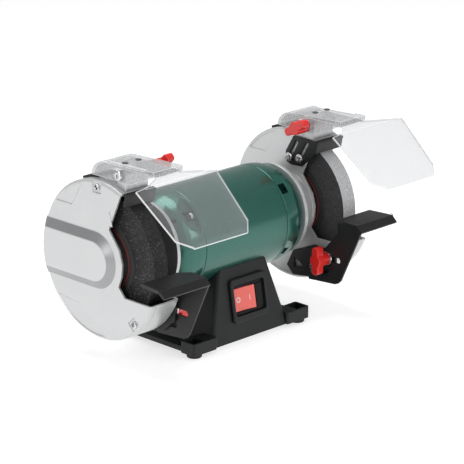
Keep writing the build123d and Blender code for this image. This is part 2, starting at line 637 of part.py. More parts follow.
def spark_arrestor():
    """Bent sheet: a slotted plate on the guard and a tongue across the wheel's top front."""
    edge_r = WHEEL_RADIUS + WHEEL_TO_ARRESTOR
    low_y, low_z = around(edge_r, ARRESTOR_ANGLE - 2)
    high_y, high_z = low_y - 3, low_z + ARRESTOR_TONGUE
    slide_y, slide_z = arrestor_slide_vector()
    rear_y, rear_z = arrestor_screw_places()[0]
    plate = plate_x([
        (low_y, low_z), (high_y, high_z), (high_y + 12, high_z), (rear_y - 6, high_z + 1),
        (rear_y + 6, rear_z + 6), (rear_y + 5, rear_z - 6), (rear_y - 2, rear_z - 9),
        (-20, rear_z - 8)], ARRESTOR_PLATE_X, ARRESTOR_PLATE_X + SHEET)
    tongue = plate_x([
        (low_y, low_z), (high_y, high_z), (high_y + SHEET, high_z), (low_y + SHEET, low_z + 1)],
        ARRESTOR_PLATE_X, ARRESTOR_OUTER_X)
    top = plate_x([
        (high_y, high_z), (high_y + 5, high_z + 1), (high_y + 5, high_z + 1 - SHEET),
        (high_y, high_z - SHEET)], ARRESTOR_PLATE_X, ARRESTOR_OUTER_X)
    body = plate + tongue + top
    for y, z in arrestor_screw_places():
        near = (y - ARRESTOR_OUT * slide_y, z - ARRESTOR_OUT * slide_z)
        body -= slot_x(near[0], near[1], near[0] + ARRESTOR_SLOT * slide_y,
                       near[1] + ARRESTOR_SLOT * slide_z, 2 * ARRESTOR_SCREW_RADIUS + 0.4,
                       ARRESTOR_PLATE_X - 1, GUARD_INNER_X)
    return body


def arrestor_screws():
    screws = []
    seat = ARRESTOR_PLATE_X - JOINT_GAP
    for y, z in arrestor_screw_places():
        washer = cyl_x(ARRESTOR_HEAD_RADIUS + 1.4, seat - 1, seat, y, z)
        head = cyl_x(ARRESTOR_HEAD_RADIUS, seat - 4, seat - 1, y, z)
        head -= cyl_x(1.6, seat - 5, seat - 2.2, y, z)
        screws.append(washer + head + cyl_x(ARRESTOR_SCREW_RADIUS, seat - 1, GUARD_FACE_X, y, z))
    return screws


# ---- eye shield ----
def rear_curve(y, low, top, run):
    """Points (y, z) of a quarter round that climbs from the rear of the holder onto its deck."""
    return [(y - run * (1 - cos(radians(turn))), low + (top - low) * sin(radians(turn)))
            for turn in range(0, 91, 15)]


def shield_holder():
    """Clear saddle over the pivot lug: a deck with a cheek on each side."""
    bottom = PIVOT_HEIGHT - CHEEK_DROP
    rear, front = HOLDER_REAR_Y, HOLDER_FRONT_Y
    outer_x = CHEEK_OUTER_X + CLEAR_SHEET
    curve = rear_curve(rear, bottom, deck_top(rear - HOLDER_ROUND), HOLDER_ROUND)
    body = plate_x(curve + [
        (front, deck_top(front)), (front, DECK_Z - CLEAR_SHEET),
        (PIVOT_Y - 22, bottom + 3), (PIVOT_Y - 14, bottom)],
        CHEEK_INNER_X, outer_x)
    ceiling = DECK_Z - CLEAR_SHEET
    curve = rear_curve(rear - CLEAR_SHEET, bottom, ceiling, HOLDER_ROUND - CLEAR_SHEET)
    body -= plate_x(curve + [
        (front - 9, ceiling), (front - 9, bottom - 9), (rear - CLEAR_SHEET, bottom - 9)],
        CHEEK_INNER_X + CLEAR_SHEET, CHEEK_OUTER_X)
    hole_x = outer_x + 1
    body -= cyl_x(PIVOT_BOLT_RADIUS + RUN_GAP, CHEEK_INNER_X - 1, hole_x, PIVOT_Y, PIVOT_HEIGHT)
    step_rear, step_front = rear - HOLDER_ROUND, front + 15
    body -= plate_x([
        (step_rear, deck_top(step_rear) - 1.2), (step_front, deck_top(step_front) - 1.2),
        (step_front, DECK_Z + 9), (step_rear, DECK_Z + 9)], outer_x - HOLDER_STEP, outer_x + 1)
    for x in RIVET_X:
        body -= cyl_z(RIVET_RADIUS + RUN_GAP, DECK_Z - 5, DECK_Z + 5, x, PIVOT_Y)
    return body


def deck_top(y):
    """Height of the holder's deck, which rises towards the operator."""
    rear, front = HOLDER_REAR_Y - HOLDER_ROUND, HOLDER_FRONT_Y
    return DECK_Z + DECK_LIFT * (rear - y) / (rear - front)


def shield_rivets():
    rivets = []
    head_z = deck_top(PIVOT_Y - RIVET_HEAD_RADIUS) + SEAT_GAP
    for x in RIVET_X:
        stem = cyl_z(RIVET_RADIUS, SHIELD_Z - CLEAR_SHEET, head_z, x, PIVOT_Y)
        rivets.append(stem + cyl_z(RIVET_HEAD_RADIUS, head_z, head_z + RIVET_HEAD, x, PIVOT_Y))
    return rivets


def folded_strip(width):
    """Section across the window, its two side strips folded down."""
    half = width / 2
    flat = half - SHIELD_FOLD
    low = -SHIELD_FOLD_DEPTH
    return make_face(Polyline(
        (-half, low), (-flat, 0), (flat, 0), (half, low), (half, low - CLEAR_SHEET),
        (flat, -CLEAR_SHEET), (-flat, -CLEAR_SHEET), (-half, low - CLEAR_SHEET), close=True))


def window_outline():
    """Window seen square on: tapered, its two lower corners cut off."""
    foot = SHIELD_LOW_WIDTH / 2
    taper = (SHIELD_TOP_WIDTH / 2 - foot) / SHIELD_LENGTH
    cut_x = foot - SHIELD_CORNER
    slant = (SHIELD_CORNER + taper * SHIELD_CORNER_UP) / SHIELD_CORNER_UP
    side_y = -SHIELD_LENGTH / 2
    side_x = cut_x + slant * (side_y + SHIELD_LENGTH)
    return make_face(Polyline(
        (-side_x, 1), (side_x, 1), (side_x, side_y), (cut_x, -SHIELD_LENGTH),
        (-cut_x, -SHIELD_LENGTH), (-side_x, side_y), close=True))


def eye_shield():
    """Clear sheet: a tongue under the deck, a flaring neck and the sloping window."""
    flat = SHIELD_TOP_WIDTH / 2 - SHIELD_FOLD
    left, right = CHEEK_INNER_X + CLEAR_SHEET + 1, CHEEK_OUTER_X - 1
    tongue = plate_z([
        (left, PIVOT_Y + 18), (right, PIVOT_Y + 18), (right, HOLDER_FRONT_Y),
        (SHIELD_CENTRE_X + flat, SHIELD_TOP_Y), (SHIELD_CENTRE_X - flat, SHIELD_TOP_Y),
        (left, HOLDER_FRONT_Y)], SHIELD_Z - CLEAR_SHEET, SHIELD_Z)
    slope = radians(SHIELD_SLOPE)
    down, out = (0, -cos(slope), -sin(slope)), (0, -sin(slope), cos(slope))
    hinge = (SHIELD_CENTRE_X, SHIELD_TOP_Y, SHIELD_Z)
    top = Plane(origin=hinge, x_dir=(1, 0, 0), z_dir=down)
    low = top.offset(SHIELD_LENGTH)
    window = loft(
        [top * folded_strip(SHIELD_TOP_WIDTH), low * folded_strip(SHIELD_LOW_WIDTH)], ruled=True)
    square_on = Plane(origin=hinge, x_dir=(1, 0, 0), z_dir=out)
    window &= extrude(square_on * window_outline(), amount=20, both=True)
    body = tongue + window
    for x in RIVET_X:
        body -= cyl_z(RIVET_RADIUS + RUN_GAP, SHIELD_Z - 9, SHIELD_Z + 1, x, PIVOT_Y)
    return body


def shield_stop():
    """Rubber pad on the rim that the back of the holder comes down on."""
    inner = GUARD_RADIUS + SEAT_GAP
    pad = cyl_x(inner + STOP_THICKNESS, *STOP_X) - cyl_x(inner, *STOP_X)
    low, high = STOP_ANGLES
    reach = GUARD_RADIUS + 20
    pad &= plate_x([(0, SHAFT_HEIGHT), around(reach, low), around(reach, high)], *STOP_X)
    return fillet(pad.edges().filter_by(GeomType.CIRCLE).group_by(SortBy.RADIUS)[-1], 0.8)


def pivot_bolt():
    """Bolt through the holder and the lug, its head on the outer side."""
    head_x = CHEEK_OUTER_X + CLEAR_SHEET + JOINT_GAP
    tip_x = CHEEK_INNER_X - JOINT_GAP - WASHER_THICKNESS - KNOB_LENGTH + 6
    head = cyl_x(5.2, head_x, head_x + 3.6, PIVOT_Y, PIVOT_HEIGHT)
    head = fillet(head.edges().sort_by(Axis.X)[-1], 1.6)
    head -= cyl_x(2.2, head_x + 1.6, head_x + 5, PIVOT_Y, PIVOT_HEIGHT)
    body = head + cyl_x(PIVOT_BOLT_RADIUS, tip_x, head_x, PIVOT_Y, PIVOT_HEIGHT)
    washer_x = CHEEK_INNER_X - JOINT_GAP
    washer = cyl_x(WASHER_RADIUS, washer_x - WASHER_THICKNESS, washer_x, PIVOT_Y, PIVOT_HEIGHT)
    return body + washer


def wing_knob(plate_face_x, y, z, turn):
    """Moulded knob on a bolt, standing off a plate face towards the motor."""
    end = plate_face_x - JOINT_GAP - WASHER_THICKNESS - JOINT_GAP
    hub = cyl_x(KNOB_HUB_RADIUS, end - KNOB_LENGTH, end, 0, 0)
    wing = Box(KNOB_THICKNESS + 1, KNOB_BAR, KNOB_THICKNESS)
    wing = fillet(wing.edges().filter_by(Axis.X), 3.5)
    wing = Pos(end - KNOB_LENGTH + KNOB_THICKNESS / 2 + 0.5, 0, 0) * wing
    knob = Rot(turn, 0, 0) * (hub + wing)
    knob -= cyl_x(REST_BOLT_RADIUS + RUN_GAP, end - KNOB_LENGTH + 5, end + 1, 0, 0)
    return Pos(0, y, z) * knob


# ---- tool rest ----
def rest_bracket():
    """Flat arm on the guard that carries the two rest bolts."""
    x0 = GUARD_INNER_X - JOINT_GAP - SHEET
    arm = plate_x([
        (2, 44), (-8, 34), (-40, 38), (-56, 42), (-74, 58), (-75, 76), (-40, 77), (-8, 64)],
        x0, x0 + SHEET)
    arm -= plate_x([(-10, 44), (-10, 56), (-24, 48)], x0 - 1, x0 + SHEET + 1)
    for y, z in REST_BOLTS:
        arm -= cyl_x(REST_BOLT_RADIUS + RUN_GAP, x0 - 1, x0 + SHEET + 1, y, z)
    return arm


def tool_rest(out=0.0, wider=0.0):
    """Bent plate: table in front of the wheel, a sloping front lip and a slotted side plate."""
    back_y = REST_BACK_Y - out
    front_y = back_y - REST_DEPTH
    outer_x = REST_OUTER_X + wider
    low = REST_TOP_Z - REST_THICKNESS
    table = plate_z([
        (WHEEL_INNER_X - 4, back_y), (outer_x - REST_END_TAPER, back_y), (outer_x, front_y),
        (REST_INNER_X, front_y), (REST_INNER_X, back_y - 10)], low, REST_TOP_Z)
    lip_y, lip_z = front_y - REST_LIP_OUT, REST_TOP_Z - REST_LIP
    lip = plate_x([
        (front_y + 0.5, REST_TOP_Z), (lip_y, lip_z), (lip_y + 2, lip_z - 2), (front_y + 2, low)],
        REST_INNER_X, outer_x)
    side = plate_x([
        (front_y + 1, low + 1), (lip_y + 2, lip_z - 2), (back_y - 8, 45), (back_y - 4, 41),
        (back_y + 1, 39), (-36 - out, 36), (-34 - out, 52), (-46 - out, 62),
        (back_y - 2, low - 12), (back_y - 2, low + 1)], REST_PLATE_X, REST_PLATE_X + SHEET)
    body = table + lip + side
    for y, z in REST_BOLTS:
        body -= slot_x(y - REST_SLOT_AHEAD - out, z, y + REST_TRAVEL + 1 - out, z,
                       2 * REST_BOLT_RADIUS + 0.6, REST_PLATE_X - 1, REST_PLATE_X + SHEET + 1)
    return body


def rest_bolts():
    """Upper bolt for the knob and lower guide bolt, both held in the guard wall."""
    bolts = []
    washer_x = REST_PLATE_X - JOINT_GAP
    tips = (washer_x - WASHER_THICKNESS - KNOB_LENGTH + 6, washer_x - WASHER_THICKNESS - 4)
    for (y, z), tip in zip(REST_BOLTS, tips):
        bolt = cyl_x(REST_BOLT_RADIUS, tip, GUARD_FACE_X + 0.2, y, z)
        bolt += cyl_x(3.9, GUARD_FACE_X + 0.1, GUARD_FACE_X + 2.4, y, z)
        bolt += cyl_x(WASHER_RADIUS, washer_x - WASHER_THICKNESS, washer_x, y, z)
        bolts.append(bolt)
    return bolts


# ---- base ----
def tower(inset, z0, z1):
    """Four-sided tower that narrows upwards, moved in by an inset on every side."""
    run = BASE_TOP_Z - BASE_BOTTOM_Z

    def level(z):
        share = (z - BASE_BOTTOM_Z) / run
        half_x = BASE_HALF_X + share * (BASE_TOP_HALF_X - BASE_HALF_X) - inset
        half_y = BASE_HALF_Y + share * (BASE_TOP_HALF_Y - BASE_HALF_Y) - inset
        return Plane.XY.offset(z) * Rectangle(2 * half_x, 2 * half_y)

    return loft([level(z0), level(z1)])


def foot_places():
    half_x, half_y = BOLT_SPACING_X / 2, BOLT_SPACING_Y / 2
    return [(sx * half_x, sy * half_y) for sx in (-1, 1) for sy in (-1, 1)]


def rounded_tower(inset):
    body = tower(inset, BASE_BOTTOM_Z, TOWER_Z)
    slanted = [e for e in body.edges() if abs(e.tangent_at(0).Z) > 0.5]
    return fillet(slanted, TOWER_CORNER - inset)


def base_housing():
    """Moulded tower with a cradle for the motor."""
    body = rounded_tower(0)
    body -= cyl_x(MOTOR_RADIUS + JOINT_GAP, -BARREL_HALF - 40, BARREL_HALF + 40)
    cavity = tower(BASE_WALL, BASE_BOTTOM_Z - 1, TOWER_Z)
    cavity -= cyl_x(MOTOR_RADIUS + JOINT_GAP + BASE_WALL, -BARREL_HALF - 40, BARREL_HALF + 40)
    body -= cavity
    for x in (-CRADLE_SCREW_X, CRADLE_SCREW_X):
        low = SHAFT_HEIGHT - MOTOR_RADIUS - JOINT_GAP - BASE_WALL
        body -= cyl_z(CRADLE_SCREW_RADIUS + 0.3, low - 1, low + BASE_WALL + 2, x)
    body -= switch_hole()
    gland_y, gland_z = gland_place()
    bore = Cylinder(GLAND_RADIUS + SEAT_GAP, 30)
    body -= Pos(0, gland_y, gland_z) * Rot(90, 0, 0) * bore
    return body


def base_ears():
    """Hollow corner blocks over the feet, joined along each side of the tower by a low skirt."""
    shape = None
    for x, y in foot_places():
        sx, sy = (1 if x > 0 else -1), (1 if y > 0 else -1)
        xs = sorted((sx * (BASE_HALF_X - 6), sx * EAR_OUTER_X))
        ys = sorted((sy * (EAR_FRONT_Y - EAR_DEPTH), sy * EAR_FRONT_Y))
        ear = block(xs[0], xs[1], ys[0], ys[1], BASE_BOTTOM_Z, BASE_BOTTOM_Z + EAR_HEIGHT)
        ear = fillet(ear.edges().filter_by(Axis.Z), 3)
        px = sorted((sx * (BOLT_SPACING_X / 2 - 8), sx * (EAR_OUTER_X - 3)))
        py = sorted((sy * (EAR_FRONT_Y - EAR_DEPTH + 3), sy * (EAR_FRONT_Y - 3)))
        floor_z = BASE_BOTTOM_Z + BASE_WALL
        ear -= block(px[0], px[1], py[0], py[1], floor_z, BASE_BOTTOM_Z + EAR_HEIGHT + 1)
        ear -= cyl_z(FOOT_NECK_RADIUS + SEAT_GAP, BASE_BOTTOM_Z - 1, floor_z + 1, x, y)
        shape = ear if shape is None else shape + ear
    inner_y = EAR_FRONT_Y - EAR_DEPTH + 2
    for sx in (-1, 1):
        xs = sorted((sx * (BASE_HALF_X - 6), sx * SKIRT_X))
        top = BASE_BOTTOM_Z + SKIRT_HEIGHT
        shape += block(xs[0], xs[1], -inner_y, inner_y, BASE_BOTTOM_Z, top)
    return group((shape - rounded_tower(-JOINT_GAP)).solids())


def rubber_feet():
    """Grommet feet: pad, neck through the ear's floor, bead and a hole for a bench bolt."""
    feet = []
    floor_z = BASE_BOTTOM_Z + BASE_WALL
    for x, y in foot_places():
        foot = cyl_z(FOOT_RADIUS, 0, BASE_BOTTOM_Z - SEAT_GAP, x, y)
        foot = chamfer(foot.edges().sort_by(Axis.Z)[0], 1.0)
        foot += cyl_z(FOOT_NECK_RADIUS, 1, floor_z + 1, x, y)
        foot += cyl_z(FOOT_BEAD_RADIUS, floor_z + SEAT_GAP, floor_z + FOOT_BEAD_HEIGHT, x, y)
        foot -= cyl_z(FOOT_HOLE_RADIUS, -1, floor_z + 9, x, y)
        feet.append(foot)
    return group(feet)


def base_plate():
    """Sheet that closes the tower from below."""
    z0 = BASE_BOTTOM_Z + SEAT_GAP
    plate = tower(BASE_WALL + JOINT_GAP, z0, z0 + BASE_PLATE_THICKNESS)
    for i in range(-3, 4):
        plate -= block(i * 12 - 2, i * 12 + 2, -20, 20, z0 - 1, z0 + 9)
    return plate


def cradle_screws():
    """Screws from inside the tower up through the cradle into the motor barrel."""
    screws = []
    low = SHAFT_HEIGHT - MOTOR_RADIUS - JOINT_GAP - BASE_WALL
    for x in (-CRADLE_SCREW_X, CRADLE_SCREW_X):
        screw = cyl_z(CRADLE_SCREW_RADIUS, low - 1, low + BASE_WALL + JOINT_GAP + 3.5, x)
        screws.append(screw + cyl_z(4.4, low - 3.6, low - 0.4, x))
    return group(screws)


# ---- switch, on the leaning front of the tower ----
def front_plane(proud=0.0):
    """Plane on the tower's front, x to the right, y up the slope, z outwards."""
    lean = radians(LEAN)
    face_y = -BASE_HALF_Y + (SWITCH_Z - BASE_BOTTOM_Z) * tan(lean)
    normal = (0, -cos(lean), sin(lean))
    origin = (SWITCH_X, face_y + proud * normal[1], SWITCH_Z + proud * normal[2])
    return Plane(origin=origin, x_dir=(1, 0, 0), z_dir=normal)


def on_front(width, height, z0, z1, x=0.0, radius=0.0):
    """Block on the front plane; with a radius its corners are round."""
    outline = RectangleRounded(width, height, radius) if radius else Rectangle(width, height)
    face = front_plane() * Pos(x, 0, z0) * outline
    return extrude(face, amount=z1 - z0)


def switch_hole():
    return on_front(WINDOW_WIDTH + 1, WINDOW_HEIGHT + 1, -BASE_WALL - 6, 3)


def switch_frame():
    """Raised collar round the switch."""
    frame = on_front(FRAME_WIDTH, FRAME_HEIGHT, SEAT_GAP, FRAME_PROUD, radius=5)
    frame = chamfer(frame.edges().filter_by(front_plane(FRAME_PROUD)), 1.2)
    return frame - on_front(WINDOW_WIDTH, WINDOW_HEIGHT, -1, FRAME_PROUD + 1,
                            radius=WINDOW_CORNER)


def switch_body():
    """Switch block behind the frame with a well for the rocker."""
    corner = WINDOW_CORNER - JOINT_GAP
    body = on_front(WINDOW_WIDTH - 2 * JOINT_GAP, WINDOW_HEIGHT - 2 * JOINT_GAP,
                    -SWITCH_DEPTH, 1, radius=corner)
    well = on_front(ROCKER_WIDTH + 1.6, ROCKER_HEIGHT + 1, -7, 2, ROCKER_OFFSET)
    rocker_edge = ROCKER_OFFSET + ROCKER_WIDTH / 2
    blank_width = WINDOW_WIDTH / 2 - rocker_edge
    blank = on_front(blank_width - 6, ROCKER_HEIGHT, 1, 2, rocker_edge + blank_width / 2)
    return body - well + blank


def rocker():
    """Shallow V-shaped rocker, pressed at its off side."""
    half = ROCKER_WIDTH / 2
    rise = half * tan(radians(ROCKER_TILT))
    section = make_face(Polyline(
        (-half, rise), (0, 0), (half, rise), (half, rise - ROCKER_THICKNESS),
        (0, -ROCKER_THICKNESS - 0.5), (-half, rise - ROCKER_THICKNESS), close=True))
    plane = front_plane(ROCKER_PIVOT)
    lying = extrude(section, amount=ROCKER_HEIGHT / 2, both=True)
    tilted = Rot(0, -ROCKER_TILT, 0) * Rot(90, 0, 0) * lying
    return plane * Pos(ROCKER_OFFSET, 0, 0) * tilted


def run_capacitor():
    """Can capacitor lying across the bottom of the tower."""
    return cyl_x(15, -32, 28, 12, BASE_BOTTOM_Z + 22)


def terminal_block():
    block_body = block(-20, 20, 34, 46, BASE_BOTTOM_Z + 4, BASE_BOTTOM_Z + 18)
    for i in range(-1, 2):
        block_body -= cyl_z(2.2, BASE_BOTTOM_Z + 14, BASE_BOTTOM_Z + 19, i * 12, 40)
    return block_body


def gland_place():
    """Middle of the rear wall's bore, low on the tower."""
    z = BASE_BOTTOM_Z + 20
    return BASE_HALF_Y - 20 * tan(radians(LEAN)), z


def cable_gland():
    """Bush in the rear wall where the mains lead would enter."""
    y, z = gland_place()
    body = Cylinder(GLAND_RADIUS, 16) + Pos(0, 0, 6) * Cylinder(GLAND_RADIUS + 3, 5)
    body -= Cylinder(GLAND_BORE, 40)
    return Pos(0, y, z) * Rot(-90, 0, 0) * body


os.makedirs("parts", exist_ok=True)

# ---- motor and rotor ----
save("motor_barrel", motor_barrel())
save_pair("end_bell", end_bell())
right_ties = [tie_screw(angle) for angle in TIE_ANGLES]
save("tie_screws", group(right_ties + [flip(s) for s in right_ties]))
save("stator_core", stator_core())
save("stator_windings", stator_windings())
save("rotor_core", rotor_core())
save("shaft", shaft())
save("bearing_outer_rings", group([bearing_outer_ring(), flip(bearing_outer_ring())]))
save("bearing_inner_rings", group([bearing_inner_ring(), flip(bearing_inner_ring())]))
save("bearing_balls", group(bearing_balls() + [flip(b) for b in bearing_balls()]))
save("preload_washer", preload_washer())

# ---- wheels ----
save_pair("inner_flange", inner_flange())
save_pair("outer_flange", outer_flange())
save_pair("blotters", blotters())
save("coarse_wheel", flip(grinding_wheel()))
save("fine_wheel", grinding_wheel())
save_pair("shaft_nut", shaft_nut())

# ---- guards ----
save_pair("inner_guard", inner_guard())
save_pair("outer_cover", outer_cover())
save("cover_screws", group(cover_screws() + [flip(s) for s in cover_screws()]))
save("guard_screws", group(guard_screws() + [flip(s) for s in guard_screws()]))
save_pair("spark_arrestor", spark_arrestor())
save("arrestor_screws", group(arrestor_screws() + [flip(s) for s in arrestor_screws()]))

# ---- eye shields ----
save_pair("shield_holder", shield_holder())
save_pair("eye_shield", eye_shield())
save_pair("shield_rivets", group(shield_rivets()))
save("shield_stops", group([shield_stop(), flip(shield_stop())]))
save("pivot_bolts", group([pivot_bolt(), flip(pivot_bolt())]))
save("shield_knob_right", wing_knob(CHEEK_INNER_X, PIVOT_Y, PIVOT_HEIGHT, -30))
left_knob_x = CHEEK_INNER_X - LEFT_KNOB_BACK
save("shield_knob_left", flip(wing_knob(left_knob_x, PIVOT_Y, PIVOT_HEIGHT, -45)))

# ---- tool rests ----
save_pair("rest_bracket", rest_bracket())
save("tool_rest_right", tool_rest())
save("tool_rest_left", flip(tool_rest(LEFT_REST_OUT, LEFT_REST_WIDER)))
save("rest_bolts", group(rest_bolts() + [flip(b) for b in rest_bolts()]))
knob_y, knob_z = REST_BOLTS[0]
save_pair("rest_knob", wing_knob(REST_PLATE_X, knob_y, knob_z, 90))

# ---- base ----
save("base_housing", base_housing())
save("base_ears", base_ears())
save("base_plate", base_plate())
save("rubber_feet", rubber_feet())
save("cradle_screws", cradle_screws())
save("switch_frame", switch_frame())
save("switch_body", switch_body())
save("rocker", rocker())
save("run_capacitor", run_capacitor())
save("terminal_block", terminal_block())
save("cable_gland", cable_gland())
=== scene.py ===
import math

import bmesh
import bpy
from mathutils import Matrix, Vector
from mathutils.bvhtree import BVHTree


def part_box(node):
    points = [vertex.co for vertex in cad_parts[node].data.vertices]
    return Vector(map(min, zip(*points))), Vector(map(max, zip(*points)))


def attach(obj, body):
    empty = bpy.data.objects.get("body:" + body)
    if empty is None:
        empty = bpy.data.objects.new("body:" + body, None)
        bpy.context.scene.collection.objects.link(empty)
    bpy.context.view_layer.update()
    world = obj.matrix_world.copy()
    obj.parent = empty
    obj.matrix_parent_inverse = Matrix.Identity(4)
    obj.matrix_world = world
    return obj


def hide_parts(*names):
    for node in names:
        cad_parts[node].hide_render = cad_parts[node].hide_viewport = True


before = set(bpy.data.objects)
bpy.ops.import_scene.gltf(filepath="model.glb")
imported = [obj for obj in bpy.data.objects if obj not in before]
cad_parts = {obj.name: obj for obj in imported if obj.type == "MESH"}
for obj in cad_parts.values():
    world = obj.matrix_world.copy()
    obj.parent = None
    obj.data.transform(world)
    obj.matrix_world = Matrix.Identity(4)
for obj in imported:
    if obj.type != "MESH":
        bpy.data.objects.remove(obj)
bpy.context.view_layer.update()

# ---- Camera ----
# A long lens at the front left, a little above the machine, aimed at its middle.
# It stands some 2.7 metres off, so that the sides hardly converge.
EYE = Vector((-1.7733, -1.8070, 0.9207))
AIM = Vector((0.0149, -0.0181, 0.1123))
camera_data = bpy.data.cameras.new("camera")
camera_data.sensor_width = 36.0
camera_data.lens = 185.3
camera_data.clip_start, camera_data.clip_end = 0.1, 50.0
camera = bpy.data.objects.new("camera", camera_data)
bpy.context.scene.collection.objects.link(camera)
camera.location = EYE
camera.rotation_mode = "QUATERNION"
camera.rotation_quaternion = (AIM - EYE).to_track_quat("-Z", "Y")
bpy.context.scene.camera = camera

# ---- Floor and light ----
# A pale seamless floor and large soft lights, as in a product studio.
# The floor has a faint mottle so that it isn't dead flat.
DARK_GRAIN = 0.82            # tone of the dark grain where no second colour is given
GRAIN_SPAN = (0.36, 0.64)    # noise over which the grain goes from dark to light
GLOSS_SPAN = (0.3, 0.7)      # noise over which the gloss changes


def surface(name, colour, second=None, grain=900.0, metal=0.0, rough=0.5, spread=0.1, bump=0.1,
            depth=0.0002, coat=0.0, detail=3.0, shine=0.5):
    """Material with a grain in its colour and height and slow changes in its gloss."""
    made = bpy.data.materials.new(name)
    made.use_nodes = True
    nodes, links = made.node_tree.nodes, made.node_tree.links
    shader = nodes["Principled BSDF"]
    shader.inputs["Metallic"].default_value = metal
    shader.inputs["Coat Weight"].default_value = coat
    shader.inputs["Coat Roughness"].default_value = 0.12
    shader.inputs["Specular IOR Level"].default_value = shine
    place = nodes.new("ShaderNodeTexCoord")
    fine = nodes.new("ShaderNodeTexNoise")
    fine.inputs["Scale"].default_value = grain
    fine.inputs["Detail"].default_value = detail
    wide = nodes.new("ShaderNodeTexNoise")
    wide.inputs["Scale"].default_value = 25.0
    wide.inputs["Detail"].default_value = 5.0
    for texture in (fine, wide):
        links.new(place.outputs["Object"], texture.inputs["Vector"])
    tint = nodes.new("ShaderNodeMix")
    tint.data_type = "RGBA"
    darker = second or [c * DARK_GRAIN for c in colour]
    tint.inputs["A"].default_value = (*darker, 1)
    tint.inputs["B"].default_value = (*colour, 1)
    ramp = nodes.new("ShaderNodeMapRange")
    ramp.inputs["From Min"].default_value = GRAIN_SPAN[0]
    ramp.inputs["From Max"].default_value = GRAIN_SPAN[1]
    links.new(fine.outputs["Fac"], ramp.inputs["Value"])
    links.new(ramp.outputs["Result"], tint.inputs["Factor"])
    links.new(tint.outputs["Result"], shader.inputs["Base Color"])
    gloss = nodes.new("ShaderNodeMapRange")
    gloss.inputs["From Min"].default_value = GLOSS_SPAN[0]
    gloss.inputs["From Max"].default_value = GLOSS_SPAN[1]
    gloss.inputs["To Min"].default_value = max(rough - spread, 0.02)
    gloss.inputs["To Max"].default_value = min(rough + spread, 1.0)
    links.new(wide.outputs["Fac"], gloss.inputs["Value"])
    links.new(gloss.outputs["Result"], shader.inputs["Roughness"])
    relief = nodes.new("ShaderNodeBump")
    relief.inputs["Strength"].default_value = bump
    relief.inputs["Distance"].default_value = depth
    links.new(fine.outputs["Fac"], relief.inputs["Height"])
    links.new(relief.outputs["Normal"], shader.inputs["Normal"])
    return made


def dress(material, *names):
    """Gives CAD nodes a material of their own."""
    for name in names:
        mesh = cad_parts[name].data
        mesh.materials.clear()
        mesh.materials.append(material)


floor_mesh = bpy.data.meshes.new("floor")
floor_work = bmesh.new()
bmesh.ops.create_grid(floor_work, x_segments=1, y_segments=1, size=9.0)
bmesh.ops.recalc_face_normals(floor_work, faces=floor_work.faces)
floor_work.to_mesh(floor_mesh)
floor_work.free()
paper = surface("studio_floor", (0.50, 0.50, 0.50), (0.48, 0.48, 0.48), grain=60.0, rough=0.8,
                bump=0.02)
paper_shader = paper.node_tree.nodes["Principled BSDF"]
paper_shader.inputs["Emission Color"].default_value = (1, 1, 1, 1)
paper_shader.inputs["Emission Strength"].default_value = 0.68
floor_mesh.materials.append(paper)
floor = bpy.data.objects.new("floor", floor_mesh)
bpy.context.scene.collection.objects.link(floor)


LIGHT_AIM = Vector((0, 0, 0.1))


def area_light(name, place, size, power):
    """Rectangular lamp at a place, turned towards the machine."""
    data = bpy.data.lights.new(name, "AREA")
    data.shape = "RECTANGLE"
    data.size, data.size_y = size
    data.energy = power
    lamp = bpy.data.objects.new(name, data)
    bpy.context.scene.collection.objects.link(lamp)
    lamp.location = place
    lamp.rotation_mode = "QUATERNION"
    lamp.rotation_quaternion = (LIGHT_AIM - Vector(place)).to_track_quat("-Z", "Y")


area_light("top_light", (0.0, 0.25, 1.5), (1.1, 0.9), 16.0)
area_light("front_light", (0.5, -1.6, 1.0), (0.5, 1.1), 8.0)
area_light("left_light", (-1.7, -0.2, 0.9), (0.7, 1.2), 9.0)
world = bpy.data.worlds.new("world")
bpy.context.scene.world = world
world.use_nodes = True
world.node_tree.nodes["Background"].inputs["Color"].default_value = (1, 1, 1, 1)
world.node_tree.nodes["Background"].inputs["Strength"].default_value = 0.42
bpy.context.scene.view_settings.view_transform = "Standard"


# ---- Motor barrel ----
# Cast aluminium tube in blue-green metallic enamel, its turned ends lightly rounded.
# It sits in the cradle of the base and carries both end bells.
SAME_POINT = 2e-6                  # corners closer than this are one
FLAT = math.radians(0.4)           # faces that meet at less than this are one
HARD_EDGE = math.radians(24)       # edges sharper than this are rounded over
CRISP_EDGE = math.radians(34)      # edges sharper than this keep their line


